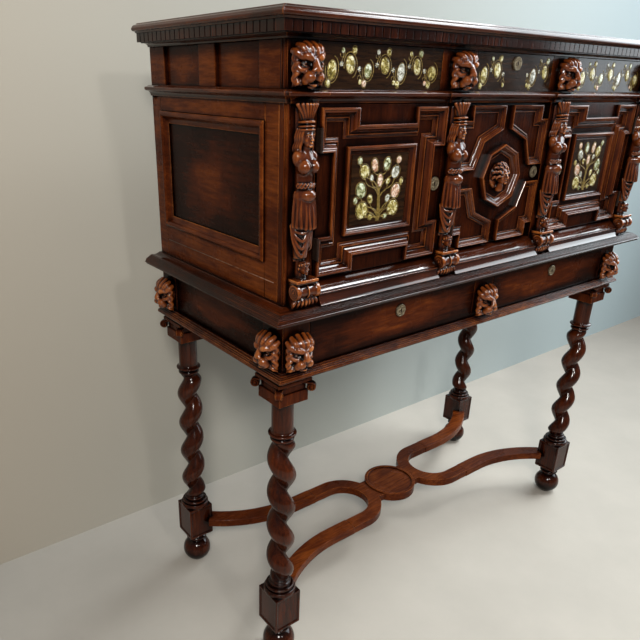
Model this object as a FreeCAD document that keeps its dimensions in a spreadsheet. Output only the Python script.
import FreeCAD, Part

import math
import os
import re

from FreeCAD import Matrix, Placement, Rotation, Vector

# Cabinet on stand, in millimetres. X runs to the right, Y to the back and Z up. The origin is on the floor,
# under the middle of the whole piece. Heights are measured from the floor, and depths forward or back from
# the middle.

doc = FreeCAD.newDocument("CabinetOnStand")
sheet = doc.addObject("Spreadsheet::Sheet", "Sizes")

# Driving dimensions

GENERAL_SIZES = (
    ("half_width", 672.5),
    ("front_depth", 248.5),
    ("back_depth", 300.0),
    ("cut_overrun", 5.0),
    ("running_gap", 0.4),
)

LEG_SIZES = (
    ("leg_side_inset", 32.5),
    ("leg_front_inset", 38.5),
    ("leg_back_inset", 60.0),
    ("foot_radius", 43.0),
    ("foot_pad_radius", 16.0),
    ("foot_neck_radius", 24.0),
    ("foot_top", 107.0),
    ("block_half", 39.0),
    ("block_height", 115.0),
    ("block_shoulder_drop", 12.0),
    ("block_shoulder_radius", 42.0),
    ("block_panel_margin", 9.0),
    ("block_panel_depth", 2.5),
    ("block_ring_radius", 38.0),
    ("block_ring_height", 13.0),
    ("neck_ring_radius", 28.0),
    ("neck_ring_height", 9.0),
    ("neck_height", 4.0),
    ("twist_pitch", 96.0),
    ("twist_offset", 10.5),
    ("twist_radius", 25.0),
    ("twist_start_angle", 104.5),
    ("twist_sections_per_turn", 8),
    ("ring_radius", 33.5),
    ("ring_height", 28.0),
    ("column_radius", 26.0),
    ("column_height", 82.0),
    ("capital_height", 58.0),
    ("capital_half", 40.0),
    ("capital_block_height", 28.0),
    ("capital_neck_half", 36.0),
    ("abacus_half", 46.0),
    ("abacus_height", 8.0),
    ("volute_offset", 45.5),
    ("volute_radius", 12.0),
    ("volute_width", 16.0),
    ("volute_drop", 23.0),
)

STRETCHER_SIZES = (
    ("stretcher_rise", 35.0),
    ("stretcher_thickness", 25.0),
    ("disc_radius", 86.0),
    ("disc_recess_radius", 76.0),
    ("disc_recess_depth", 4.0),
    ("disc_rise", 4.0),
    ("neck_half_width", 47.0),
    ("fork_line_radius", 96.0),
    ("fork_centre_offset", 204.0),
    ("fork_width", 43.0),
    ("fork_end", 270.0),
    ("arm_width", 47.0),
    ("arm_bend_start", 345.0),
    ("arm_seat_share", 0.85),
)

STAND_SIZES = (
    ("stand_bottom", 830.0),
    ("stand_height", 160.0),
    ("base_board_thickness", 20.0),
    ("post_width", 72.5),
    ("apron_thickness", 22.0),
    ("apron_recess", 4.0),
    ("stand_rail_thickness", 22.0),
    ("stand_rail_height", 13.0),
    ("stand_centre_width", 80.0),
    ("guide_thickness", 12.0),
    ("runner_height", 8.6),
    ("runner_width", 24.0),
    ("base_moulding_rise", 2.0),
    ("base_moulding_height", 26.0),
    ("base_moulding_depth", 23.5),
    ("waist_drop", 12.0),
    ("waist_height", 30.0),
    ("waist_depth", 51.5),
    ("stand_mask_width", 72.0),
    ("stand_mask_depth", 46.0),
    ("stand_mask_bottom_gap", 0.4),
    ("stand_mask_top_gap", 31.6),
)

DRAWER_SIZES = (
    ("drawer_front_thickness", 20.0),
    ("drawer_side_thickness", 10.0),
    ("drawer_bottom_thickness", 7.0),
    ("drawer_side_drop", 8.0),
    ("drawer_side_gap", 1.0),
    ("drawer_top_gap", 1.5),
    ("drawer_back_clearance", 12.0),
)

CABINET_SIZES = (
    ("floor_thickness", 20.0),
    ("cupboard_height", 385.0),
    ("board_thickness", 20.0),
    ("back_thickness", 12.0),
    ("side_thickness", 22.0),
    ("side_panel_thickness", 10.0),
    ("side_panel_recess", 8.0),
    ("side_front_stile", 46.0),
    ("side_back_stile", 44.0),
    ("side_bottom_rail", 76.0),
    ("side_top_rail", 33.0),
    ("side_moulding_width", 27.0),
    ("side_moulding_height", 15.0),
    ("frieze_side_back_stile", 72.0),
    ("frieze_side_middle_width", 67.0),
    ("frieze_side_middle_depth", 34.5),
    ("frieze_side_front_stile", 68.0),
    ("pilaster_thickness", 22.0),
    ("inner_pilaster_centre", 202.0),
    ("inner_pilaster_width", 60.0),
    ("outer_figure_inset", 34.5),
    ("figure_half_width", 27.5),
    ("figure_depth", 42.0),
    ("console_radius", 16.0),
    ("console_rise", 12.0),
    ("console_height", 40.0),
    ("console_half_width", 30.0),
    ("sill_height", 41.5),
    ("sill_depth", 28.0),
    ("sill_slope_drop", 19.0),
    ("sill_step", 3.5),
    ("sill_thickness", 22.0),
    ("mid_height", 23.0),
    ("mid_depth", 18.5),
    ("mid_break_depth", 5.0),
    ("mid_break_half_width", 28.0),
    ("mid_board_rise", 2.0),
    ("mid_board_thickness", 22.6),
    ("frieze_height", 81.4),
    ("frieze_stile_offset", 3.0),
    ("frieze_stile_width", 114.0),
    ("frieze_mask_width", 72.0),
    ("frieze_mask_depth", 44.0),
    ("frieze_mask_top_gap", 1.4),
    ("frieze_rail_inset", 22.0),
    ("bed_height", 9.0),
    ("dentil_height", 19.0),
    ("dentil_backing_depth", 21.0),
    ("dentil_depth", 31.0),
    ("dentil_width", 18.0),
    ("dentil_pitch", 21.0),
    ("cornice_height", 21.0),
    ("cornice_depth", 43.0),
    ("top_board_thickness", 19.0),
)

DOOR_SIZES = (
    ("door_bottom_gap", 2.0),
    ("door_top_gap", 1.5),
    ("door_thickness", 28.0),
    ("door_rise", 2.0),
    ("hinge_gap", 2.1),
    ("free_gap", 3.0),
    ("field_depth", 12.0),
    ("bolection_width", 27.0),
    ("bolection_rise", 10.0),
    ("bolection_lap", 8.0),
    ("bolection_side_margin", 2.0),
    ("bolection_end_margin", 6.0),
    ("corner_block_width", 97.4),
    ("corner_block_height", 82.0),
    ("notch_depth", 32.5),
    ("panel_frame_side_margin", 79.5),
    ("panel_frame_end_margin", 74.0),
    ("panel_frame_width", 18.0),
    ("panel_frame_rise", 10.0),
    ("inlay_thickness", 4.0),
    ("centre_door_thickness", 16.0),
    ("octagon_frame_share", 0.447),
    ("octagon_channel_share", 0.706),
    ("octagon_frame_width", 20.0),
    ("octagon_frame_rise", 10.0),
    ("corner_frame_width_share", 0.48),
    ("corner_frame_side_margin", 32.0),
    ("corner_frame_end_margin", 5.0),
    ("corner_frame_side_gap", 18.0),
    ("corner_frame_end_gap", 21.0),
    ("boss_radius_share", 0.212),
    ("boss_depth", 34.0),
)

HARDWARE_SIZES = (
    ("hinge_knuckle_radius", 3.2),
    ("hinge_pin_radius", 1.5),
    ("hinge_pin_clearance", 0.05),
    ("hinge_leaf_thickness", 1.0),
    ("hinge_leaf_reach", 28.0),
    ("hinge_height", 45.0),
    ("hinge_end_distance", 42.0),
    ("hinge_segment_gap", 0.3),
    ("hinge_forward", 14.0),
    ("centre_hinge_forward", 5.0),
    ("escutcheon_radius", 15.0),
    ("escutcheon_thickness", 2.5),
    ("escutcheon_edge_distance", 16.5),
    ("lock_width", 34.0),
    ("lock_height", 50.0),
    ("lock_thickness", 11.0),
    ("lock_edge_distance", 2.0),
    ("stand_lock_top_distance", 46.0),
    ("frieze_lock_top_distance", 22.0),
)

ALL_SIZES = (
    GENERAL_SIZES
    + LEG_SIZES
    + STRETCHER_SIZES
    + STAND_SIZES
    + DRAWER_SIZES
    + CABINET_SIZES
    + DOOR_SIZES
    + HARDWARE_SIZES
)

# Levels and places that follow from the driving dimensions. Each is a sum of names.
DERIVED_SIZES = {
    "leg_half_spacing": "half_width - leg_side_inset",
    "leg_front_depth": "front_depth - leg_front_inset",
    "leg_back_depth": "back_depth - leg_back_inset",
    "block_top": "foot_top + block_height",
    "twist_bottom": "block_top + block_ring_height + neck_ring_height + neck_height",
    "capital_bottom": "stand_bottom - capital_height",
    "capital_block_top": "capital_bottom + capital_block_height",
    "ring_top": "capital_bottom - column_height",
    "twist_top": "ring_top - ring_height",
    "volute_centre_height": "stand_bottom - volute_drop",
    "stretcher_bottom": "foot_top + stretcher_rise",
    "stand_top": "stand_bottom + stand_height",
    "base_board_top": "stand_bottom + base_board_thickness",
    "stand_rail_bottom": "stand_top - stand_rail_height",
    "runner_top": "base_board_top + runner_height",
    "base_moulding_bottom": "stand_bottom + base_moulding_rise",
    "base_moulding_top": "base_moulding_bottom + base_moulding_height",
    "waist_bottom": "stand_top - waist_drop",
    "waist_top": "waist_bottom + waist_height",
    "stand_mask_bottom": "base_moulding_top + stand_mask_bottom_gap",
    "stand_mask_top": "waist_bottom - stand_mask_top_gap",
    "floor_top": "stand_top + floor_thickness",
    "sill_top": "floor_top + sill_height",
    "console_bottom": "floor_top + console_rise",
    "console_top": "console_bottom + console_height",
    "mid_bottom": "floor_top + cupboard_height",
    "mid_top": "mid_bottom + mid_height",
    "mid_board_bottom": "mid_bottom + mid_board_rise",
    "mid_board_top": "mid_board_bottom + mid_board_thickness",
    "frieze_top": "mid_board_top + frieze_height",
    "frieze_mask_top": "frieze_top - frieze_mask_top_gap",
    "dentil_bottom": "frieze_top + bed_height",
    "dentil_top": "dentil_bottom + dentil_height",
    "cornice_top": "dentil_top + cornice_height",
    "top_board_bottom": "cornice_top - top_board_thickness",
    "outer_figure_centre": "half_width - outer_figure_inset",
    "frieze_stile_centre": "inner_pilaster_centre + frieze_stile_offset",
    "door_bottom": "sill_top + door_bottom_gap",
    "door_top": "mid_bottom - door_top_gap",
}


def fill_sheet(rows):
    """Puts each size in the sheet as a plain number with its name as alias."""
    for row, (alias, value) in enumerate(rows, start=1):
        sheet.set(f"A{row}", alias)
        sheet.set(f"B{row}", str(value))
        sheet.setAlias(f"B{row}", alias)
    doc.recompute()


class SheetSizes:
    """Reads a size from the sheet by its alias, or adds up a derived one."""

    def __getattr__(self, name):
        if name not in DERIVED_SIZES:
            return float(sheet.get(name))
        total = 0
        sign = 1
        for word in DERIVED_SIZES[name].split():
            if word in "+-":
                sign = -1 if word == "-" else 1
            else:
                total += sign * getattr(self, word)
        return total


fill_sheet(ALL_SIZES)
size = SheetSizes()
pieces = []


def cells(text):
    """Turns the size names in an expression into references to the sheet's cells."""

    def reference(match):
        name = match.group(0)
        if name in DERIVED_SIZES:
            return f"({cells(DERIVED_SIZES[name])})"
        return f"Sizes.{name}"

    return re.sub(r"[a-z]+(?:_[a-z]+)+", reference, text)


def piece(label, *members):
    """Names a finished sub-part. Several members make one sub-part of separate solids."""
    if len(members) == 1:
        result = members[0]
    else:
        result = doc.addObject("Part::Compound", f"{label}_group")
        result.Links = list(members)
    result.Label = label
    pieces.append(result)
    return result


def board(name, left, right, front, back, bottom, top):
    """A rectangular board between six planes, each an expression of the sheet's sizes."""
    box = doc.addObject("Part::Box", name)
    box.setExpression("Length", cells(f"({right}) - ({left})"))
    box.setExpression("Width", cells(f"({back}) - ({front})"))
    box.setExpression("Height", cells(f"({top}) - ({bottom})"))
    box.setExpression("Placement.Base.x", cells(left))
    box.setExpression("Placement.Base.y", cells(front))
    box.setExpression("Placement.Base.z", cells(bottom))
    return box


def cylinder(name, radius, height, x, y, z, forward=False):
    """A round rod on the given centre, upright or with its axis pointing forward."""
    rod = doc.addObject("Part::Cylinder", name)
    rod.setExpression("Radius", cells(radius))
    rod.setExpression("Height", cells(height))
    if forward:
        rod.Placement = Placement(Vector(), Rotation(Vector(1, 0, 0), 90))
    rod.setExpression("Placement.Base.x", cells(x))
    rod.setExpression("Placement.Base.y", cells(y))
    rod.setExpression("Placement.Base.z", cells(z))
    return rod


def shape_feature(name, shape, place=None):
    """A feature for a shape that Part's own functions have made."""
    feature = doc.addObject("Part::Feature", name)
    feature.Shape = shape
    if place is not None:
        feature.Placement = place
    return feature


def box_shape(left, right, front, back, bottom, top):
    """A rectangular solid between six planes, as a bare shape."""
    return Part.makeBox(right - left, back - front, top - bottom, Vector(left, front, bottom))


# Mouldings

# Each profile runs round a moulding's section: distance out from the line that the moulding follows, height,
# and the bulge of the arc to the next point, all as shares. A bulge of zero is a straight line.
BASE_PROFILE_SHARES = (
    (0.0, 0.0, 0.0),
    (0.38, 0.0, 0.0),
    (0.42, 0.16, 0.25),
    (0.92, 0.36, 0.0),
    (1.0, 0.42, 0.3),
    (1.0, 0.62, 0.0),
    (0.86, 0.70, 0.0),
    (0.80, 0.70, -0.3),
    (0.40, 0.88, 0.0),
    (0.30, 1.0, 0.0),
    (0.0, 1.0, 0.0),
)
WAIST_PROFILE_SHARES = (
    (0.0, 0.0, 0.0),
    (0.72, 0.0, 0.0),
    (0.80, 0.10, 0.0),
    (0.92, 0.12, 0.35),
    (1.0, 0.32, 0.35),
    (0.90, 0.50, 0.0),
    (0.84, 0.54, -0.3),
    (0.50, 0.72, 0.0),
    (0.46, 0.80, 0.25),
    (0.16, 0.93, 0.0),
    (0.12, 1.0, 0.0),
    (0.0, 1.0, 0.0),
)
MID_PROFILE_SHARES = (
    (0.0, 0.0, 0.0),
    (0.20, 0.0, 0.0),
    (0.24, 0.16, -0.3),
    (0.74, 0.48, 0.0),
    (0.92, 0.52, 0.0),
    (1.0, 0.58, 0.35),
    (1.0, 0.84, 0.0),
    (0.62, 0.94, 0.0),
    (0.50, 1.0, 0.0),
    (0.0, 1.0, 0.0),
)
CORNICE_PROFILE_SHARES = (
    (0.0, 0.0, 0.0),
    (0.78, 0.0, 0.0),
    (0.82, 0.14, 0.0),
    (0.96, 0.20, 0.0),
    (1.0, 0.30, 0.35),
    (0.96, 0.58, 0.3),
    (0.72, 0.86, 0.0),
    (0.67, 1.0, 0.0),
    (0.0, 1.0, 0.0),
)
SIDE_PANEL_PROFILE_SHARES = (
    (0.0, 0.0, 0.0),
    (1.0, 0.0, 0.0),
    (1.0, 0.25, -0.25),
    (0.50, 0.62, 0.0),
    (0.46, 0.80, 0.0),
    (0.36, 0.98, 0.3),
    (0.12, 0.98, 0.0),
    (0.0, 0.80, 0.0),
)
PANEL_FRAME_PROFILE_SHARES = (
    (0.0, 0.0, 0.0),
    (1.0, 0.0, 0.0),
    (1.0, 0.30, -0.25),
    (0.56, 0.72, 0.0),
    (0.50, 0.92, 0.3),
    (0.20, 1.0, 0.3),
    (0.0, 0.74, 0.0),
)
BOLECTION_RAISED_SHARES = (
    (0.0, 0.0, 0.0),
    (0.0, 0.35, -0.35),
    (0.16, 1.0, 0.0),
    (0.36, 1.0, -0.25),
    (0.52, 0.35, 0.0),
    (0.56, 0.05, 0.25),
)
BOLECTION_SUNK_SHARES = (
    (0.92, 0.70, 0.0),
    (1.0, 0.75, 0.0),
    (1.0, 1.0, 0.0),
)
BED_PROFILE_SHARES = (
    (0.21, 0.0, 0.0),
    (0.21, 0.33, -0.3),
    (0.89, 0.80, 0.0),
    (1.0, 0.80, 0.0),
)


def profile_wire(points):
    """A closed wire in the XZ plane through (out, up, bulge) points, with arcs where the bulge isn't zero."""
    edges = []
    for here, there in zip(points, points[1:] + points[:1]):
        start = Vector(here[0], 0, here[1])
        end = Vector(there[0], 0, there[1])
        bulge = here[2]
        if bulge == 0:
            edges.append(Part.LineSegment(start, end).toShape())
            continue
        chord = end - start
        outward = Vector(chord.z, 0, -chord.x)
        middle = (start + end) * 0.5 + outward * (bulge / 2)
        edges.append(Part.Arc(start, middle, end).toShape())
    return Part.Wire(edges)


def scaled_profile(shares, width, height):
    return [(out * width, up * height, bulge) for out, up, bulge in shares]


def mitre_vectors(path, closed, side):
    """For each point of a path, the vector that moves it one unit out from both of its runs."""
    vectors = []
    count = len(path)
    for i, point in enumerate(path):
        normals = []
        if closed or i > 0:
            run = point - path[i - 1]
            normals.append(Vector(-run.y, run.x, 0).normalize() * side)
        if closed or i < count - 1:
            run = path[(i + 1) % count] - point
            normals.append(Vector(-run.y, run.x, 0).normalize() * side)
        total = normals[0] + normals[-1]
        vectors.append(total * (1 / (1 + normals[0].dot(normals[-1]))))
    return vectors


def section_wires(path, profile, closed, side):
    """The profile placed in the mitre plane of every point of the path."""
    flat = profile_wire(profile)
    wires = []
    for point, out in zip(path, mitre_vectors(path, closed, side)):
        move = Matrix(
            out.x, -out.y, 0, point.x,
            out.y, out.x, 0, point.y,
            0, 0, 1, point.z,
            0, 0, 0, 1,
        )
        wires.append(flat.transformGeometry(move))
    return wires


def run_faces(first, second):
    """The faces of one straight run, edge by edge between the profile at its two ends."""
    faces = []
    for near, far in zip(first.Edges, second.Edges):
        if isinstance(near.Curve, Part.Line):
            corners = [near.Vertexes[0].Point, near.Vertexes[-1].Point]
            corners += [far.Vertexes[-1].Point, far.Vertexes[0].Point]
            faces.append(Part.Face(Part.makePolygon(corners + corners[:1])))
        else:
            faces.append(Part.makeRuledSurface(near, far, 1))
    return faces


def solid_from(faces):
    shell = Part.makeShell(faces)
    shell.sewShape()
    solid = Part.makeSolid(shell)
    if solid.Volume < 0:
        solid.reverse()
    return solid


def moulding_runs(path, profile, side=1):
    """One mitred solid for each straight run of an open path."""
    wires = section_wires(path, profile, False, side)
    runs = []
    for first, second in zip(wires, wires[1:]):
        runs.append(solid_from(run_faces(first, second) + [Part.Face(first), Part.Face(second)]))
    return runs


def moulding_ring(path, profile, side=1):
    """One closed mitred frame along a closed path."""
    wires = section_wires(path, profile, True, side)
    faces = []
    for first, second in zip(wires, wires[1:] + wires[:1]):
        faces += run_faces(first, second)
    return solid_from(faces)


def upright(shape, face_y):
    """Turns a shape drawn flat, with its height towards the front, up on to the plane at face_y."""
    turned = shape.copy()
    turned.rotate(Vector(), Vector(1, 0, 0), 90)
    turned.translate(Vector(0, face_y, 0))
    return turned


def surround_path(height):
    """The line round the left, front and right faces of the case, at a height."""
    wide = size.half_width
    return [
        Vector(-wide, size.back_depth, height),
        Vector(-wide, -size.front_depth, height),
        Vector(wide, -size.front_depth, height),
        Vector(wide, size.back_depth, height),
    ]


def surround_moulding(name, shares, depth, bottom, top):
    """A left, a front and a right run of one moulding, mitred at the corners."""
    profile = scaled_profile(shares, depth, top - bottom)
    runs = moulding_runs(surround_path(bottom), profile, side=-1)
    return shape_feature(name, Part.makeCompound(runs))


# Feet, legs and capitals

CORNERS = (
    ("front_left", -1, -1),
    ("front_right", 1, -1),
    ("back_left", -1, 1),
    ("back_right", 1, 1),
)


def corner_depth(depth_side):
    return "-leg_front_depth" if depth_side < 0 else "leg_back_depth"


def corner_point(side, depth_side):
    depth = -size.leg_front_depth if depth_side < 0 else size.leg_back_depth
    return Vector(side * size.leg_half_spacing, depth, 0)


def ball_foot(corner, side, depth_side):
    """A turned ball with a flat pad under it and a neck that meets the leg's block."""
    x = f"{side} * leg_half_spacing"
    y = corner_depth(depth_side)
    ball = doc.addObject("Part::Sphere", f"foot_ball_{corner}")
    ball.setExpression("Radius", cells("foot_radius"))
    rise = "sqrt(foot_radius * foot_radius - foot_pad_radius * foot_pad_radius)"
    ball.setExpression("Placement.Base.x", cells(x))
    ball.setExpression("Placement.Base.y", cells(y))
    ball.setExpression("Placement.Base.z", cells(rise))
    neck = cylinder(f"foot_neck_{corner}", "foot_neck_radius", f"foot_top - {rise}", x, y, rise)
    whole = doc.addObject("Part::MultiFuse", f"foot_whole_{corner}")
    whole.Shapes = [ball, neck]
    ground = board(
        f"foot_ground_{corner}",
        f"{x} - 2 * foot_radius",
        f"{x} + 2 * foot_radius",
        f"{y} - 2 * foot_radius",
        f"{y} + 2 * foot_radius",
        "-2 * foot_radius",
        "0 * foot_radius",
    )
    foot = doc.addObject("Part::Cut", f"foot_{corner}")
    foot.Base = whole
    foot.Tool = ground
    return foot


def leg_block():
    """The square block of a leg: a sunk panel on each face and a top turned over to a round shoulder."""
    half = size.block_half
    top = size.block_top
    drop = size.block_shoulder_drop
    corner_top = top - drop
    lower = box_shape(-half, half, -half, half, size.foot_top, corner_top)
    upper = box_shape(-half, half, -half, half, corner_top, top)
    slope = Part.makeCone(2 * half, size.block_shoulder_radius, drop, Vector(0, 0, corner_top))
    block = lower.fuse(upper.common(slope)).removeSplitter()
    margin = size.block_panel_margin
    depth = size.block_panel_depth
    low = size.foot_top + margin
    high = corner_top - margin
    for turn in range(4):
        sunk = box_shape(-half + margin, half - margin, -half - size.cut_overrun, -half + depth, low, high)
        sunk.rotate(Vector(), Vector(0, 0, 1), 90 * turn)
        block = block.cut(sunk)
    return block


def ring_shape(radius, bottom, top):
    """A turned ring with a half-round edge."""
    half = (top - bottom) / 2
    core = Part.makeCylinder(radius - half, top - bottom, Vector(0, 0, bottom))
    edge = Part.makeTorus(radius - half, half, Vector(0, 0, bottom + half))
    return core.fuse(edge)


def twist_shape():
    """The single twist: a round section, off centre, that turns about the leg's axis as it climbs."""
    height = size.twist_top - size.twist_bottom
    turns = height / size.twist_pitch
    count = max(4, round(turns * size.twist_sections_per_turn))
    wires = []
    for i in range(count + 1):
        angle = size.twist_start_angle + 360 * turns * i / count
        circle = Part.Circle(Vector(), Vector(0, 0, 1), size.twist_radius).toShape()
        circle.translate(Vector(size.twist_offset, 0, size.twist_bottom + height * i / count))
        circle.rotate(Vector(), Vector(0, 0, 1), angle)
        wires.append(Part.Wire([circle]))
    return Part.makeLoft(wires, True, False)


def leg_shape():
    """A whole leg in one piece, from its block to the top of its column, with a right-hand twist."""
    ring_bottom = size.block_top
    neck_bottom = ring_bottom + size.block_ring_height
    neck_top = neck_bottom + size.neck_ring_height
    neck_radius = size.twist_radius - size.twist_offset / 2
    leg = leg_block()
    for part in (
        ring_shape(size.block_ring_radius, ring_bottom, neck_bottom),
        ring_shape(size.neck_ring_radius, neck_bottom, neck_top),
        Part.makeCylinder(neck_radius, size.twist_bottom - neck_top, Vector(0, 0, neck_top)),
        twist_shape(),
        ring_shape(size.ring_radius, size.twist_top, size.ring_top),
        Part.makeCylinder(size.column_radius, size.capital_bottom - size.ring_top, Vector(0, 0, size.ring_top)),
    ):
        leg = leg.fuse(part)
    return leg


def capital_shape():
    """A square block with a narrower neck over it, a scroll at each corner and a square top plate."""
    half = size.capital_half
    neck = size.capital_neck_half
    plate = size.abacus_half
    plate_bottom = size.stand_bottom - size.abacus_height
    capital = box_shape(-half, half, -half, half, size.capital_bottom, size.capital_block_top)
    capital = capital.fuse(box_shape(-neck, neck, -neck, neck, size.capital_block_top, plate_bottom))
    capital = capital.fuse(box_shape(-plate, plate, -plate, plate, plate_bottom, size.stand_bottom))
    for turn in range(4):
        reach = size.volute_offset * math.sqrt(2)
        height = size.volute_centre_height
        roll = Part.makeCylinder(
            size.volute_radius,
            size.volute_width,
            Vector(reach, -size.volute_width / 2, height),
            Vector(0, 1, 0),
        )
        arm = box_shape(
            0, reach, -size.volute_width / 2, size.volute_width / 2, height, height + size.volute_radius
        )
        scroll = roll.fuse(arm)
        scroll.rotate(Vector(), Vector(0, 0, 1), 45 + 90 * turn)
        capital = capital.fuse(scroll)
    return capital.removeSplitter()


def build_legs():
    feet = [ball_foot(*corner) for corner in CORNERS]
    piece("ball_feet", *feet)
    right_hand = leg_shape()
    left_hand = right_hand.mirror(Vector(), Vector(1, 0, 0))
    for corner, side, depth_side in CORNERS:
        turn = 0 if depth_side < 0 else 180
        place = Placement(corner_point(side, depth_side), Rotation(Vector(0, 0, 1), turn))
        shape = left_hand if side * depth_side > 0 else right_hand
        piece(f"leg_{corner}", shape_feature(f"leg_solid_{corner}", shape, place))
    capitals = []
    for corner, side, depth_side in CORNERS:
        place = Placement(corner_point(side, depth_side), Rotation())
        capitals.append(shape_feature(f"capital_{corner}", capital_shape(), place))
    piece("capitals", *capitals)


# Stretcher


def stretcher_middle():
    """The middle of the stretcher in depth: half way between the front and back legs."""
    return (size.leg_back_depth - size.leg_front_depth) / 2


def stretcher_centre_shape():
    """The disc with its sunk top, the two necks and the two forks, up to the joints with the arms."""
    bottom = size.stretcher_bottom
    thick = size.stretcher_thickness
    disc = Part.makeCylinder(size.disc_radius, thick + size.disc_rise, Vector(0, 0, bottom))
    recess_floor = bottom + thick + size.disc_rise - size.disc_recess_depth
    recess = Part.makeCylinder(
        size.disc_recess_radius, size.disc_recess_depth + size.cut_overrun, Vector(0, 0, recess_floor)
    )
    inner_radius = size.fork_line_radius - size.fork_width / 2
    outer_radius = size.fork_line_radius + size.fork_width / 2
    whole = disc
    for side in (-1, 1):
        centre = side * size.fork_centre_offset
        neck = box_shape(
            min(0, centre - side * inner_radius),
            max(0, centre - side * inner_radius),
            -size.neck_half_width,
            size.neck_half_width,
            bottom,
            bottom + thick,
        )
        bow = Part.makeCylinder(outer_radius, thick, Vector(centre, 0, bottom))
        reach = size.fork_end
        near_half = box_shape(
            min(0, centre), max(0, centre), -outer_radius, outer_radius, bottom, bottom + thick
        )
        prongs = box_shape(
            min(centre, side * reach),
            max(centre, side * reach),
            -outer_radius,
            outer_radius,
            bottom,
            bottom + thick,
        )
        hole = Part.makeCylinder(inner_radius, thick, Vector(centre, 0, bottom))
        slot = box_shape(
            min(centre, side * (reach + size.cut_overrun)),
            max(centre, side * (reach + size.cut_overrun)),
            -inner_radius,
            inner_radius,
            bottom,
            bottom + thick,
        )
        fork = neck.fuse(bow.common(near_half)).fuse(prongs).cut(hole.fuse(slot))
        whole = whole.fuse(fork)
    return whole.cut(recess).removeSplitter()


def arm_path(seat):
    """Straight from the fork, then one arc, tangent to the straight part, to the leg's block."""
    height = size.stretcher_bottom + size.stretcher_thickness / 2
    start = Vector(size.fork_end, size.fork_line_radius, height)
    bend = Vector(size.arm_bend_start, size.fork_line_radius, height)
    end = Vector(seat.x, seat.y, height)
    chord = end - bend
    radius = chord.Length ** 2 / (2 * chord.y)
    angle = 2 * math.atan2(chord.y, chord.x)
    centre = bend + Vector(0, radius, 0)
    middle = centre + Vector(radius * math.sin(angle / 2), -radius * math.cos(angle / 2), 0)
    edges = [Part.LineSegment(start, bend).toShape(), Part.Arc(bend, middle, end).toShape()]
    return Part.Wire(edges)


def arm_shape():
    """The arm of the positive corner: a flat band along its path, cut to seat on the leg's block."""
    half_spacing = (size.leg_front_depth + size.leg_back_depth) / 2
    seat_inset = size.block_half * size.arm_seat_share
    seat = Vector(size.leg_half_spacing - seat_inset, half_spacing - seat_inset, 0)
    path = arm_path(seat)
    half = size.arm_width / 2
    low = size.stretcher_bottom
    high = low + size.stretcher_thickness
    corners = [
        Vector(size.fork_end, size.fork_line_radius - half, low),
        Vector(size.fork_end, size.fork_line_radius + half, low),
        Vector(size.fork_end, size.fork_line_radius + half, high),
        Vector(size.fork_end, size.fork_line_radius - half, high),
    ]
    section = Part.makePolygon(corners + corners[:1])
    band = path.makePipeShell([section], True, False)
    block = box_shape(
        size.leg_half_spacing - size.block_half,
        size.leg_half_spacing + size.block_half,
        half_spacing - size.block_half,
        half_spacing + size.block_half,
        low - size.cut_overrun,
        high + size.cut_overrun,
    )
    return band.cut(block)


def build_stretcher():
    middle = Vector(0, stretcher_middle(), 0)
    place = Placement(middle, Rotation())
    piece("stretcher_centre", shape_feature("stretcher_centre", stretcher_centre_shape(), place))
    arms = []
    for corner, side, depth_side in CORNERS:
        arm = arm_shape()
        if side < 0:
            arm = arm.mirror(Vector(), Vector(1, 0, 0))
        if depth_side < 0:
            arm = arm.mirror(Vector(), Vector(0, 1, 0))
        arms.append(shape_feature(f"arm_{corner}", arm, place))
    piece("stretcher_arms", *arms)


# Carved work, in its outer form

# Level, half width and depth of a figure from the top of its console to its head-dress, as shares.
FIGURE_SECTION_SHARES = (
    (0.00, 0.42, 0.40),
    (0.06, 0.62, 0.60),
    (0.11, 0.50, 0.50),
    (0.14, 0.40, 0.50),
    (0.22, 0.78, 0.66),
    (0.32, 1.00, 0.74),
    (0.42, 1.00, 0.74),
    (0.47, 0.94, 0.84),
    (0.53, 0.86, 0.84),
    (0.59, 0.78, 0.62),
    (0.64, 0.88, 0.82),
    (0.68, 1.00, 1.00),
    (0.73, 0.92, 0.74),
    (0.77, 0.52, 0.56),
    (0.80, 0.60, 0.86),
    (0.86, 0.74, 0.96),
    (0.91, 0.70, 0.84),
    (1.00, 1.00, 0.92),
)
# Level, half width and depth of a mask from chin to brow, as shares.
MASK_SECTION_SHARES = (
    (0.00, 0.50, 0.45),
    (0.10, 0.78, 0.85),
    (0.28, 0.95, 1.00),
    (0.48, 1.00, 0.96),
    (0.70, 1.00, 0.70),
    (0.90, 0.86, 0.50),
    (1.00, 0.60, 0.30),
)


def relief_shape(section_shares, half_width, depth, bottom, top):
    """A relief that grows out of an upright plane at y = 0 towards the front: half ellipses, one per level."""
    wires = []
    for level, width_share, depth_share in section_shares:
        stretch = Matrix()
        stretch.scale(half_width * width_share, depth * depth_share, 1)
        stretch.move(Vector(0, 0, bottom + (top - bottom) * level))
        arc = Part.Arc(Vector(1, 0, 0), Vector(0, -1, 0), Vector(-1, 0, 0)).toShape()
        back = Part.LineSegment(Vector(-1, 0, 0), Vector(1, 0, 0)).toShape()
        wires.append(Part.Wire([arc, back]).transformGeometry(stretch))
    return Part.makeLoft(wires, True, True)


def figure_shape():
    """A carved female figure on a scroll console."""
    figure = relief_shape(
        FIGURE_SECTION_SHARES, size.figure_half_width, size.figure_depth, size.console_top, size.mid_bottom
    )
    depth = size.figure_depth - size.console_radius
    middle = (size.console_bottom + size.console_top) / 2
    roll = Part.makeCylinder(
        size.console_radius,
        2 * size.console_half_width,
        Vector(-size.console_half_width, -depth, middle),
        Vector(1, 0, 0),
    )
    body = box_shape(
        -size.figure_half_width, size.figure_half_width, -depth, 0, size.console_bottom, size.console_top
    )
    return figure.fuse(roll).fuse(body)


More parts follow.
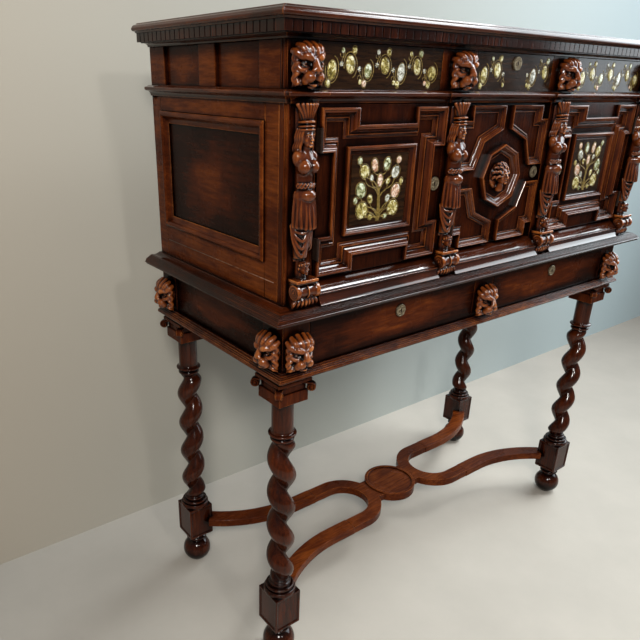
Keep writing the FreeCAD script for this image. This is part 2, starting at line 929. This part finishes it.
def build_figures():
    figures = []
    centres = (
        -size.outer_figure_centre,
        -size.inner_pilaster_centre,
        size.inner_pilaster_centre,
        size.outer_figure_centre,
    )
    for number, centre in enumerate(centres, start=1):
        place = Placement(Vector(centre, -size.front_depth, 0), Rotation())
        figures.append(shape_feature(f"figure_{number}", figure_shape(), place))
    piece("carved_figures", *figures)


def stand_mask_places():
    """Middle of each stand mask on its face, with the turn that faces it outward."""
    half = size.stand_mask_width / 2
    post_middle = size.half_width - size.post_width / 2
    places = []
    for x in (-post_middle, 0, post_middle):
        places.append((Vector(x, -size.front_depth, 0), 0))
    for y in (-size.front_depth + half, size.back_depth - half):
        places.append((Vector(-size.half_width, y, 0), -90))
        places.append((Vector(size.half_width, y, 0), 90))
    return places


def build_masks():
    shape = relief_shape(
        MASK_SECTION_SHARES,
        size.stand_mask_width / 2,
        size.stand_mask_depth,
        size.stand_mask_bottom,
        size.stand_mask_top,
    )
    masks = []
    for number, (point, turn) in enumerate(stand_mask_places(), start=1):
        place = Placement(point, Rotation(Vector(0, 0, 1), turn))
        masks.append(shape_feature(f"stand_mask_{number}", shape, place))
    piece("stand_masks", *masks)

    shape = relief_shape(
        MASK_SECTION_SHARES,
        size.frieze_mask_width / 2,
        size.frieze_mask_depth,
        size.mid_board_top,
        size.frieze_mask_top,
    )
    post_middle = size.half_width - size.post_width / 2
    masks = []
    for number, x in enumerate((-post_middle, -size.frieze_stile_centre, size.frieze_stile_centre, post_middle)):
        place = Placement(Vector(x, -size.front_depth, 0), Rotation())
        masks.append(shape_feature(f"frieze_mask_{number + 1}", shape, place))
    piece("frieze_masks", *masks)


# Stand


def build_stand_case():
    inner = "half_width - post_width"
    piece(
        "stand_base_board",
        board(
            "base_board",
            "-half_width",
            "half_width",
            "-front_depth",
            "back_depth",
            "stand_bottom",
            "base_board_top",
        ),
    )
    posts = []
    for corner, side, depth_side in CORNERS:
        edges = ("half_width", inner) if side > 0 else (f"-({inner})", "-half_width")
        if depth_side < 0:
            depths = ("-front_depth", "-front_depth + post_width")
        else:
            depths = ("back_depth - post_width", "back_depth")
        posts.append(
            board(f"post_{corner}", edges[1], edges[0], depths[0], depths[1], "base_board_top", "stand_top")
        )
    piece("stand_corner_posts", *posts)

    aprons = []
    outer = "half_width - apron_recess"
    for name, left, right in (
        ("left", f"-({outer})", f"-({outer}) + apron_thickness"),
        ("right", f"{outer} - apron_thickness", outer),
    ):
        aprons.append(
            board(
                f"apron_{name}",
                left,
                right,
                "-front_depth + post_width",
                "back_depth - post_width",
                "base_board_top",
                "stand_top",
            )
        )
    piece("stand_side_aprons", *aprons)

    back_rail = board(
        "back_rail",
        f"-({inner})",
        inner,
        "back_depth - stand_rail_thickness",
        "back_depth",
        "base_board_top",
        "stand_top",
    )
    front_rail = board(
        "front_rail",
        f"-({inner})",
        inner,
        "-front_depth",
        "-front_depth + post_width",
        "stand_rail_bottom",
        "stand_top",
    )
    piece("stand_rails", back_rail, front_rail)

    stile = board(
        "centre_stile",
        "-stand_centre_width / 2",
        "stand_centre_width / 2",
        "-front_depth",
        "-front_depth + stand_rail_thickness",
        "base_board_top",
        "stand_rail_bottom",
    )
    guides = []
    for name, left, right in (
        ("left", "-stand_centre_width / 2", "-stand_centre_width / 2 + guide_thickness"),
        ("right", "stand_centre_width / 2 - guide_thickness", "stand_centre_width / 2"),
    ):
        guides.append(
            board(
                f"centre_guide_{name}",
                left,
                right,
                "-front_depth + stand_rail_thickness",
                "back_depth - stand_rail_thickness",
                "base_board_top",
                "stand_rail_bottom",
            )
        )
    piece("stand_centre_stile", stile, *guides)


def build_runners():
    """Strips that carry the sides of the two stand drawers."""
    runners = []
    places = (
        ("outer_left", "-(half_width - post_width)", "-(half_width - post_width) + runner_width"),
        ("inner_left", "-stand_centre_width / 2 - runner_width", "-stand_centre_width / 2"),
        ("inner_right", "stand_centre_width / 2", "stand_centre_width / 2 + runner_width"),
        ("outer_right", "half_width - post_width - runner_width", "half_width - post_width"),
    )
    for name, left, right in places:
        runners.append(
            board(
                f"runner_{name}",
                left,
                right,
                "-front_depth",
                "back_depth - stand_rail_thickness",
                "base_board_top",
                "runner_top",
            )
        )
    piece("stand_drawer_runners", *runners)


def build_stand_mouldings():
    piece(
        "stand_base_moulding",
        surround_moulding(
            "base_moulding",
            BASE_PROFILE_SHARES,
            size.base_moulding_depth,
            size.base_moulding_bottom,
            size.base_moulding_top,
        ),
    )
    piece(
        "waist_moulding",
        surround_moulding(
            "waist", WAIST_PROFILE_SHARES, size.waist_depth, size.waist_bottom, size.waist_top
        ),
    )


# Drawers


def build_drawer(label, left, right, bottom, top, back, lock_drop=None):
    """A drawer: its front, and a box of two sides, a back and a bottom. A lock has a round plate and a case."""
    front_left = f"{left} + drawer_side_gap"
    front_right = f"{right} - drawer_side_gap"
    front_face = "-front_depth"
    front_back = "-front_depth + drawer_front_thickness"
    low = f"{bottom} + running_gap"
    high = f"{top} - drawer_top_gap"
    side_top = f"{high} - drawer_side_drop"
    rear = f"{back} - drawer_back_clearance"
    piece(
        f"{label}_front",
        board(f"{label}_front_board", front_left, front_right, front_face, front_back, low, high),
    )
    side_left = board(
        f"{label}_side_left",
        front_left,
        f"{front_left} + drawer_side_thickness",
        front_back,
        rear,
        low,
        side_top,
    )
    side_right = board(
        f"{label}_side_right",
        f"{front_right} - drawer_side_thickness",
        front_right,
        front_back,
        rear,
        low,
        side_top,
    )
    inner_left = f"{front_left} + drawer_side_thickness"
    inner_right = f"{front_right} - drawer_side_thickness"
    bottom_board = board(
        f"{label}_bottom",
        inner_left,
        inner_right,
        front_back,
        rear,
        low,
        f"{low} + drawer_bottom_thickness",
    )
    back_board = board(
        f"{label}_back",
        inner_left,
        inner_right,
        f"{rear} - drawer_side_thickness",
        rear,
        f"{low} + drawer_bottom_thickness",
        side_top,
    )
    piece(f"{label}_box", side_left, side_right, bottom_board, back_board)
    if lock_drop is None:
        return
    middle = f"(({left}) + ({right})) / 2"
    plate_height = f"{top} - {lock_drop}"
    plate = cylinder(
        f"{label}_plate",
        "escutcheon_radius",
        "escutcheon_thickness",
        middle,
        front_face,
        plate_height,
        forward=True,
    )
    case = board(
        f"{label}_lock_case",
        f"{middle} - lock_width / 2",
        f"{middle} + lock_width / 2",
        front_back,
        f"{front_back} + lock_thickness",
        f"{side_top} - lock_height",
        side_top,
    )
    piece(f"{label}_lock", plate, case)


def build_drawers():
    post_edge = "half_width - post_width"
    stand_back = "back_depth - stand_rail_thickness"
    for name, left, right in (
        ("left", f"-({post_edge})", "-stand_centre_width / 2"),
        ("right", "stand_centre_width / 2", post_edge),
    ):
        build_drawer(
            f"stand_drawer_{name}",
            left,
            right,
            "runner_top",
            "stand_rail_bottom",
            stand_back,
            "stand_lock_top_distance",
        )
    stile_outer = "frieze_stile_centre + frieze_stile_width / 2"
    stile_inner = "frieze_stile_centre - frieze_stile_width / 2"
    cabinet_back = "back_depth - back_thickness"
    for name, left, right, lock in (
        ("left", f"-({post_edge})", f"-({stile_outer})", None),
        ("centre", f"-({stile_inner})", stile_inner, "frieze_lock_top_distance"),
        ("right", stile_outer, post_edge, None),
    ):
        build_drawer(
            f"frieze_drawer_{name}", left, right, "mid_board_top", "frieze_top", cabinet_back, lock
        )


# Cabinet case


def build_side(name, side):
    """A framed side: two full stiles, rails between them, and thinner sunk panels."""
    outer = "half_width"
    inner = "half_width - side_thickness"
    panel_outer = "half_width - side_panel_recess"
    panel_inner = "half_width - side_panel_recess - side_panel_thickness"

    def member(label, far, near, front, back, bottom, top):
        if side < 0:
            return board(f"side_{name}_{label}", f"-({far})", f"-({near})", front, back, bottom, top)
        return board(f"side_{name}_{label}", near, far, front, back, bottom, top)

    case_front = "-front_depth + pilaster_thickness"
    front_edge = f"{case_front} + side_front_stile"
    back_edge = "back_depth - side_back_stile"
    low = "floor_top"
    panel_low = "floor_top + side_bottom_rail"
    panel_high = "mid_bottom - side_top_rail"
    frieze_front = "-front_depth + pilaster_thickness + frieze_side_front_stile"
    frieze_back = "back_depth - frieze_side_back_stile"
    middle_front = "frieze_side_middle_depth - frieze_side_middle_width / 2"
    middle_back = "frieze_side_middle_depth + frieze_side_middle_width / 2"
    members = [
        member("front_stile", outer, inner, case_front, front_edge, low, "mid_top"),
        member("back_stile", outer, inner, back_edge, "back_depth", low, "mid_top"),
        member("bottom_rail", outer, inner, front_edge, back_edge, low, panel_low),
        member("top_rail", outer, inner, front_edge, back_edge, panel_high, "mid_top"),
        member("panel", panel_outer, panel_inner, front_edge, back_edge, panel_low, panel_high),
        member("frieze_front", outer, inner, case_front, frieze_front, "mid_top", "frieze_top"),
        member("frieze_middle", outer, inner, middle_front, middle_back, "mid_top", "frieze_top"),
        member("frieze_back", outer, inner, frieze_back, "back_depth", "mid_top", "frieze_top"),
        member(
            "frieze_panel_front", panel_outer, panel_inner, frieze_front, middle_front, "mid_top", "frieze_top"
        ),
        member(
            "frieze_panel_back", panel_outer, panel_inner, middle_back, frieze_back, "mid_top", "frieze_top"
        ),
    ]
    piece(f"cabinet_side_{name}", *members)


def side_panel_moulding(side):
    """The raised moulding round a side's sunk panel."""
    front = -size.front_depth + size.pilaster_thickness + size.side_front_stile
    back = size.back_depth - size.side_back_stile
    bottom = size.floor_top + size.side_bottom_rail
    top = size.mid_bottom - size.side_top_rail
    path = [
        Vector(front, bottom, 0),
        Vector(back, bottom, 0),
        Vector(back, top, 0),
        Vector(front, top, 0),
    ]
    profile = scaled_profile(
        SIDE_PANEL_PROFILE_SHARES, size.side_moulding_width, size.side_moulding_height
    )
    ring = moulding_ring(path, profile)
    ring.rotate(Vector(), Vector(1, 0, 0), 90)
    ring.rotate(Vector(), Vector(0, 0, 1), 90)
    ring.translate(Vector(size.half_width - size.side_panel_recess, 0, 0))
    if side < 0:
        ring = ring.mirror(Vector(), Vector(1, 0, 0))
    return ring


def build_case_boards():
    inner_side = "half_width - side_thickness"
    case_front = "-front_depth + pilaster_thickness"
    piece(
        "cabinet_bottom",
        board(
            "bottom_board",
            "-half_width",
            "half_width",
            "-front_depth",
            "back_depth",
            "stand_top",
            "floor_top",
        ),
    )
    piece(
        "cabinet_back",
        board(
            "back_board",
            f"-({inner_side})",
            inner_side,
            "back_depth - back_thickness",
            "back_depth",
            "floor_top",
            "top_board_bottom",
        ),
    )
    partitions = []
    for name, sign in (("left", "-"), ("right", "")):
        partitions.append(
            board(
                f"partition_{name}",
                f"{sign}inner_pilaster_centre - board_thickness / 2",
                f"{sign}inner_pilaster_centre + board_thickness / 2",
                case_front,
                "back_depth - back_thickness",
                "floor_top",
                "mid_board_bottom",
            )
        )
    piece("cabinet_partitions", *partitions)
    plank = board(
        "mid_board_plank",
        f"-({inner_side})",
        inner_side,
        case_front,
        "back_depth - back_thickness",
        "mid_board_bottom",
        "mid_board_top",
    )
    edge = board(
        "mid_board_edge",
        "-half_width",
        "half_width",
        "-front_depth",
        case_front,
        "mid_board_bottom",
        "mid_board_top",
    )
    mid_board = doc.addObject("Part::MultiFuse", "mid_board_whole")
    mid_board.Shapes = [plank, edge]
    piece("mid_board", mid_board)
    piece(
        "cabinet_top",
        board(
            "top_board",
            "-half_width",
            "half_width",
            "-front_depth",
            "back_depth",
            "top_board_bottom",
            "cornice_top",
        ),
    )


def build_pilasters():
    """Four upright boards between the doors and at the corners, from the bottom board to the middle board."""
    boards = []
    post_edge = "half_width - post_width"
    inner_near = "inner_pilaster_centre - inner_pilaster_width / 2"
    inner_far = "inner_pilaster_centre + inner_pilaster_width / 2"
    places = (
        ("outer_left", "-half_width", f"-({post_edge})"),
        ("inner_left", f"-({inner_far})", f"-({inner_near})"),
        ("inner_right", inner_near, inner_far),
        ("outer_right", post_edge, "half_width"),
    )
    for name, left, right in places:
        boards.append(
            board(
                f"pilaster_{name}",
                left,
                right,
                "-front_depth",
                "-front_depth + pilaster_thickness",
                "floor_top",
                "mid_board_bottom",
            )
        )
    piece("pilasters", *boards)


def sill_shape(left, right):
    """A length of sill under a door: level top on the case, then a slope and a nose over the moulding below."""
    top = size.sill_top
    slope_end = top - size.sill_slope_drop
    step = size.sill_step
    section = (
        (-size.sill_thickness, size.floor_top),
        (-size.sill_thickness, top),
        (0, top),
        (size.sill_depth - step, slope_end),
        (size.sill_depth - step, slope_end - step),
        (size.sill_depth, slope_end - 2 * step),
        (size.sill_depth, size.waist_top - step),
        (0, size.floor_top),
    )
    points = [Vector(left, -size.front_depth - out, height) for out, height in section]
    face = Part.Face(Part.makePolygon(points + points[:1]))
    return face.extrude(Vector(right - left, 0, 0))


def build_sill():
    post_edge = size.half_width - size.post_width
    near = size.inner_pilaster_centre - size.inner_pilaster_width / 2
    far = size.inner_pilaster_centre + size.inner_pilaster_width / 2
    lengths = []
    for name, left, right in (
        ("left", -post_edge, -far),
        ("centre", -near, near),
        ("right", far, post_edge),
    ):
        lengths.append(shape_feature(f"sill_{name}", sill_shape(left, right)))
    piece("door_sills", *lengths)


def mid_front_path():
    """The front line of the middle moulding, with a small break forward over each figure."""
    wide = size.half_width
    front = -size.front_depth
    half = size.mid_break_half_width
    forward = front - size.mid_break_depth
    path = [Vector(-wide, front, size.mid_bottom)]
    centres = (
        -size.outer_figure_centre,
        -size.inner_pilaster_centre,
        size.inner_pilaster_centre,
        size.outer_figure_centre,
    )
    for centre in centres:
        path += [
            Vector(centre - half, front, size.mid_bottom),
            Vector(centre - half, forward, size.mid_bottom),
            Vector(centre + half, forward, size.mid_bottom),
            Vector(centre + half, front, size.mid_bottom),
        ]
    path.append(Vector(wide, front, size.mid_bottom))
    return path


def mid_moulding_shape():
    """The side runs and the broken front run, mitred where they meet."""
    height = size.mid_top - size.mid_bottom
    profile = scaled_profile(MID_PROFILE_SHARES, size.mid_depth, height)
    wide = size.half_width
    path = (
        [Vector(-wide, size.back_depth, size.mid_bottom)]
        + mid_front_path()
        + [Vector(wide, size.back_depth, size.mid_bottom)]
    )
    runs = moulding_runs(path, profile, side=-1)
    front = runs[1]
    for run in runs[2:-1]:
        front = front.fuse(run)
    half = size.mid_break_half_width
    for centre in (-size.outer_figure_centre, -size.inner_pilaster_centre):
        for middle in (centre, -centre):
            filler = box_shape(
                middle - half,
                middle + half,
                -size.front_depth - size.mid_break_depth,
                -size.front_depth,
                size.mid_bottom,
                size.mid_top,
            )
            front = front.fuse(filler)
    return Part.makeCompound([runs[0], front.removeSplitter(), runs[-1]])


def build_frieze():
    """Posts and stiles between the frieze drawers, with guides behind them."""
    post_edge = "half_width - post_width"
    near = "frieze_stile_centre - frieze_stile_width / 2"
    far = "frieze_stile_centre + frieze_stile_width / 2"
    members = []
    fronts = (
        ("post_left", "-half_width", f"-({post_edge})"),
        ("stile_left", f"-({far})", f"-({near})"),
        ("stile_right", near, far),
        ("post_right", post_edge, "half_width"),
    )
    for name, left, right in fronts:
        members.append(
            board(
                f"frieze_{name}",
                left,
                right,
                "-front_depth",
                "-front_depth + pilaster_thickness",
                "mid_board_top",
                "frieze_top",
            )
        )
    guides = (
        ("far_left", f"-({far})", f"-({far}) + guide_thickness"),
        ("near_left", f"-({near}) - guide_thickness", f"-({near})"),
        ("near_right", near, f"{near} + guide_thickness"),
        ("far_right", f"{far} - guide_thickness", far),
        ("post_left", f"-({post_edge}) - guide_thickness", f"-({post_edge})"),
        ("post_right", post_edge, f"{post_edge} + guide_thickness"),
    )
    for name, left, right in guides:
        members.append(
            board(
                f"frieze_guide_{name}",
                left,
                right,
                "-front_depth + pilaster_thickness",
                "back_depth - back_thickness",
                "mid_board_top",
                "frieze_top",
            )
        )
    piece("frieze_posts", *members)


def dentil_band_shape():
    """The rail on top of the sides and frieze, whose face carries the bed moulding and the dentils."""
    inset = -size.frieze_rail_inset
    height = size.top_board_bottom - size.frieze_top
    backing = size.dentil_backing_depth
    crown = size.dentil_top - size.frieze_top
    bed = scaled_profile(BED_PROFILE_SHARES, backing, size.bed_height)
    profile = [
        (inset, 0, 0),
        *bed,
        (backing, crown, 0),
        (0, crown, 0),
        (0, height, 0),
        (inset, height, 0),
    ]
    return Part.makeCompound(moulding_runs(surround_path(size.frieze_top), profile, side=-1))


def dentil_row(start, end, face_turn):
    """Evenly spaced dentils along a line at the face of their backing, the end ones flush with its ends."""
    line = end - start
    count = max(2, round(line.Length / size.dentil_pitch))
    step = (line.Length - size.dentil_width) / (count - 1)
    along = Vector(line).normalize()
    depth = size.dentil_depth - size.dentil_backing_depth
    row = []
    for i in range(count):
        tooth = box_shape(0, size.dentil_width, -depth, 0, size.dentil_bottom, size.dentil_top)
        tooth.rotate(Vector(), Vector(0, 0, 1), face_turn)
        tooth.translate(start + along * (step * i))
        row.append(tooth)
    return row


def build_dentils():
    wide = size.half_width + size.dentil_backing_depth
    front = -size.front_depth - size.dentil_backing_depth
    proud = size.dentil_depth - size.dentil_backing_depth
    rows = dentil_row(Vector(-wide - proud, front, 0), Vector(wide + proud, front, 0), 0)
    rows += dentil_row(Vector(-wide, size.back_depth, 0), Vector(-wide, front, 0), -90)
    rows += dentil_row(Vector(wide, front, 0), Vector(wide, size.back_depth, 0), 90)
    piece("dentils", shape_feature("dentil_rows", Part.makeCompound(rows)))


def build_cornice():
    piece(
        "cornice",
        surround_moulding(
            "cornice_runs",
            CORNICE_PROFILE_SHARES,
            size.cornice_depth,
            size.dentil_top,
            size.cornice_top,
        ),
    )


def build_cabinet_case():
    build_case_boards()
    for name, side in (("left", -1), ("right", 1)):
        build_side(name, side)
    mouldings = [shape_feature(f"side_moulding_{side}", side_panel_moulding(side)) for side in (-1, 1)]
    piece("side_panel_mouldings", *mouldings)
    build_pilasters()
    build_sill()
    piece("mid_moulding", shape_feature("mid_moulding_runs", mid_moulding_shape()))
    build_frieze()
    piece("dentil_band", shape_feature("dentil_band_runs", dentil_band_shape()))
    build_dentils()
    build_cornice()


# Doors


def door_span(name):
    """Left and right edges of a door. Each door has a hinge gap on one side and a wider gap on the other."""
    post_edge = size.half_width - size.post_width
    near = size.inner_pilaster_centre - size.inner_pilaster_width / 2
    far = size.inner_pilaster_centre + size.inner_pilaster_width / 2
    if name == "left":
        return -post_edge + size.hinge_gap, -far - size.free_gap
    if name == "centre":
        return -near + size.hinge_gap, near - size.free_gap
    return far + size.free_gap, post_edge - size.hinge_gap


def notched_outline(centre_x, centre_z, half_width, half_height, notch_x, notch_z, notch_depth):
    """A rectangle with a notch in the middle of each side, as a flat path."""
    quarter = [
        (half_width - notch_depth, notch_z),
        (half_width, notch_z),
        (half_width, half_height),
        (notch_x, half_height),
        (notch_x, half_height - notch_depth),
    ]
    mirrored = [(-x, z) for x, z in reversed(quarter)]
    upper = quarter + mirrored
    lower = [(-x, -z) for x, z in upper]
    return [Vector(centre_x + x, centre_z + z, 0) for x, z in upper + lower]


def bolection_profile():
    """The raised moulding that laps over the edge of the sunk field, from its outer edge inward."""
    width = size.bolection_width
    lap = size.bolection_lap
    depth = size.field_depth
    raised = scaled_profile(BOLECTION_RAISED_SHARES, width, size.bolection_rise)
    sunk = scaled_profile(BOLECTION_SUNK_SHARES, width, -depth)
    return raised + sunk + [(lap, -depth, 0), (lap, 0, 0)]


def notched_door(name):
    """A side door: board with a notched sunk field, raised moulding, inner frame and inlaid panel."""
    left, right = door_span(name)
    centre_x = (left + right) / 2
    centre_z = (size.door_bottom + size.door_top) / 2
    face_y = -size.front_depth - size.door_rise
    field_y = face_y + size.field_depth
    half_width = (right - left) / 2 - size.bolection_side_margin
    half_height = (size.door_top - size.door_bottom) / 2 - size.bolection_end_margin
    notch_x = half_width - size.corner_block_width
    notch_z = half_height - size.corner_block_height
    outline = notched_outline(
        centre_x, centre_z, half_width, half_height, notch_x, notch_z, size.notch_depth
    )
    lap = size.bolection_lap
    field = notched_outline(
        centre_x,
        centre_z,
        half_width - lap,
        half_height - lap,
        notch_x + lap,
        notch_z + lap,
        size.notch_depth,
    )
    slab = box_shape(
        left, right, face_y, face_y + size.door_thickness, size.door_bottom, size.door_top
    )
    pocket = Part.Face(Part.makePolygon(field + field[:1])).extrude(Vector(0, 0, size.field_depth))
    slab = slab.cut(upright(pocket, field_y))
    piece(f"door_{name}", shape_feature(f"door_{name}_board", slab))

    raised = upright(moulding_ring(outline, bolection_profile()), face_y)
    frame_x = half_width - size.panel_frame_side_margin
    frame_z = half_height - size.panel_frame_end_margin
    frame_path = [
        Vector(centre_x - frame_x, centre_z - frame_z, 0),
        Vector(centre_x + frame_x, centre_z - frame_z, 0),
        Vector(centre_x + frame_x, centre_z + frame_z, 0),
        Vector(centre_x - frame_x, centre_z + frame_z, 0),
    ]
    profile = scaled_profile(PANEL_FRAME_PROFILE_SHARES, size.panel_frame_width, size.panel_frame_rise)
    frame = upright(moulding_ring(frame_path, profile), field_y)
    piece(
        f"door_{name}_mouldings",
        shape_feature(f"door_{name}_raised", raised),
        shape_feature(f"door_{name}_frame", frame),
    )
    inner_x = frame_x - size.panel_frame_width
    inner_z = frame_z - size.panel_frame_width
    inlay = box_shape(
        centre_x - inner_x,
        centre_x + inner_x,
        field_y - size.inlay_thickness,
        field_y,
        centre_z - inner_z,
        centre_z + inner_z,
    )
    piece(f"door_{name}_panel", shape_feature(f"door_{name}_inlay", inlay))


def octagon_path(radius, centre_z):
    """A regular octagon with a corner at the top, drawn so that its inside is on the left of the path."""
    points = []
    for i in range(8):
        angle = math.pi / 4 * i
        points.append(Vector(radius * math.cos(angle), centre_z + radius * math.sin(angle), 0))
    return points


def corner_frame_shape(radius, half_width, half_height):
    """A corner panel of the positive quarter: a rectangle whose inner corner follows the octagon's channel.

    Also gives the width of its narrower end."""
    knee = radius * math.sqrt(0.5)
    slope = (radius - knee) / knee
    side_gap = size.corner_frame_side_gap
    end_gap = size.corner_frame_end_gap
    reach = half_width - size.corner_frame_side_margin
    top = half_height - size.corner_frame_end_margin
    near = radius - end_gap * slope
    shape = [
        (side_gap, radius - side_gap * slope),
        (knee, knee),
        (near, end_gap),
        (reach, end_gap),
        (reach, top),
        (side_gap, top),
    ]
    return shape, reach - near


def corner_frame_path(shape, centre_z, side, level):
    points = [Vector(side * x, centre_z + level * z, 0) for x, z in shape]
    if side * level < 0:
        points.reverse()
    return points


def centre_door():
    """The middle door: board, octagonal frame, four corner frames and a carved boss."""
    left, right = door_span("centre")
    centre_z = (size.door_bottom + size.door_top) / 2
    half_height = (size.door_top - size.door_bottom) / 2
    half_width = size.inner_pilaster_centre - size.inner_pilaster_width / 2
    smaller = min(half_width, half_height)
    back_y = -size.front_depth - size.door_rise + size.door_thickness
    face_y = back_y - size.centre_door_thickness
    slab = box_shape(left, right, face_y, back_y, size.door_bottom, size.door_top)
    piece("door_centre", shape_feature("door_centre_board", slab))

    profile = scaled_profile(
        PANEL_FRAME_PROFILE_SHARES, size.octagon_frame_width, size.octagon_frame_rise
    )
    frames = [moulding_ring(octagon_path(smaller * size.octagon_frame_share, centre_z), profile)]
    shape, narrow = corner_frame_shape(smaller * size.octagon_channel_share, half_width, half_height)
    profile = scaled_profile(
        PANEL_FRAME_PROFILE_SHARES, narrow * size.corner_frame_width_share, size.octagon_frame_rise
    )
    for side in (-1, 1):
        for level in (-1, 1):
            frames.append(moulding_ring(corner_frame_path(shape, centre_z, side, level), profile))
    members = []
    for number, frame in enumerate(frames, start=1):
        members.append(shape_feature(f"door_centre_frame_{number}", upright(frame, face_y)))
    piece("door_centre_mouldings", *members)

    radius = smaller * size.boss_radius_share
    boss = relief_shape(MASK_SECTION_SHARES, radius, size.boss_depth, centre_z - radius, centre_z + radius)
    boss.translate(Vector(0, face_y, 0))
    piece("door_centre_boss", shape_feature("door_centre_carving", boss))


# Hinges and locks


def hinge_levels():
    """Bottoms of the lower and the upper hinge of a door."""
    return (
        size.door_bottom + size.hinge_end_distance,
        size.door_top - size.hinge_end_distance - size.hinge_height,
    )


def knuckle(bottom, top, pin_hole):
    """A length of hinge knuckle on the hinge's axis."""
    rod = Part.makeCylinder(size.hinge_knuckle_radius, top - bottom, Vector(0, 0, bottom))
    if pin_hole:
        hole_radius = size.hinge_pin_radius + size.hinge_pin_clearance
        rod = rod.cut(Part.makeCylinder(hole_radius, top - bottom, Vector(0, 0, bottom)))
    return rod


def leaf(toward_door, segments, height):
    """A hinge leaf beside the axis, joined to the knuckles of its own segments by short necks."""
    gap = (size.hinge_gap - 2 * size.hinge_leaf_thickness) / 2
    near = gap * toward_door
    far = (gap + size.hinge_leaf_thickness) * toward_door
    left = min(near, far)
    right = max(near, far)
    start = size.hinge_knuckle_radius + size.hinge_segment_gap
    plate = box_shape(left, right, start, size.hinge_leaf_reach, 0, height)
    for bottom, top in segments:
        plate = plate.fuse(box_shape(left, right, 0, start, bottom, top))
    return plate


def hinge_shapes(toward_door):
    """The case's half, with the pin, and the door's half of one hinge, on an axis at the origin."""
    height = size.hinge_height
    third = height / 3
    gap = size.hinge_segment_gap
    outer = ((0, third - gap / 2), (2 * third + gap / 2, height))
    inner = ((third + gap / 2, 2 * third - gap / 2),)
    case_half = leaf(-toward_door, outer, height)
    for bottom, top in outer:
        case_half = case_half.fuse(knuckle(bottom, top, False))
    case_half = case_half.fuse(Part.makeCylinder(size.hinge_pin_radius, height))
    hole_radius = size.hinge_pin_radius + size.hinge_pin_clearance
    bottom, top = inner[0]
    door_half = leaf(toward_door, inner, height).fuse(knuckle(bottom, top, False))
    door_half = door_half.cut(Part.makeCylinder(hole_radius, height))
    return case_half, door_half


def hinge_axis(name):
    """Where a door turns: X and Y of its axis, and the direction from the axis to the door."""
    left, right = door_span(name)
    half_gap = size.hinge_gap / 2
    if name == "centre":
        return left - half_gap, -size.front_depth - size.centre_hinge_forward, 1
    if name == "left":
        return left - half_gap, -size.front_depth - size.hinge_forward, 1
    return right + half_gap, -size.front_depth - size.hinge_forward, -1


def door_lock(name):
    """The lock case behind a door's free edge, and the round plate in front of it."""
    left, right = door_span(name)
    centre_z = (size.door_bottom + size.door_top) / 2
    back_y = -size.front_depth - size.door_rise + size.door_thickness
    face_y = -size.front_depth - size.door_rise
    if name == "centre":
        face_y = back_y - size.centre_door_thickness
    free_edge = left if name == "right" else right
    inward = 1 if name == "right" else -1
    plate_x = free_edge + inward * size.escutcheon_edge_distance
    plate = Part.makeCylinder(
        size.escutcheon_radius,
        size.escutcheon_thickness,
        Vector(plate_x, face_y, centre_z),
        Vector(0, -1, 0),
    )
    near = free_edge + inward * size.lock_edge_distance
    far = near + inward * size.lock_width
    case = box_shape(
        min(near, far),
        max(near, far),
        back_y,
        back_y + size.lock_thickness,
        centre_z - size.lock_height / 2,
        centre_z + size.lock_height / 2,
    )
    return plate, case


def build_hardware():
    """Case halves of all the hinges in one sub-part, and each door's own metalwork in another."""
    fixed = []
    for name in ("left", "centre", "right"):
        x, y, toward_door = hinge_axis(name)
        case_half, door_half = hinge_shapes(toward_door)
        metalwork = []
        for number, bottom in enumerate(hinge_levels(), start=1):
            place = Placement(Vector(x, y, bottom), Rotation())
            fixed.append(shape_feature(f"hinge_case_{name}_{number}", case_half, place))
            metalwork.append(shape_feature(f"hinge_door_{name}_{number}", door_half, place))
        for label, shape in zip(("plate", "case"), door_lock(name)):
            metalwork.append(shape_feature(f"lock_{label}_{name}", shape))
        piece(f"door_{name}_metalwork", *metalwork)
    piece("hinge_frames", *fixed)


# Whole object


def build_all():
    build_legs()
    build_stretcher()
    build_stand_case()
    build_runners()
    build_stand_mouldings()
    build_masks()
    build_cabinet_case()
    build_figures()
    build_drawers()
    notched_door("left")
    centre_door()
    notched_door("right")
    build_hardware()


def check_objects():
    """Stops when any object failed or any sub-part has no valid solid."""
    for item in doc.Objects:
        if "Invalid" in item.State or "Error" in item.State:
            raise RuntimeError(f"{item.Name} failed: {item.State}")
    for item in pieces:
        if item.Shape.isNull() or not item.Shape.isValid() or not item.Shape.Solids:
            raise RuntimeError(f"{item.Label} has no valid solid")


def export_pieces():
    os.makedirs("parts", exist_ok=True)
    for item in pieces:
        item.Shape.exportStep(f"parts/{item.Label}.step")


build_all()
doc.recompute()
check_objects()
export_pieces()
print(len(pieces), "sub-parts")
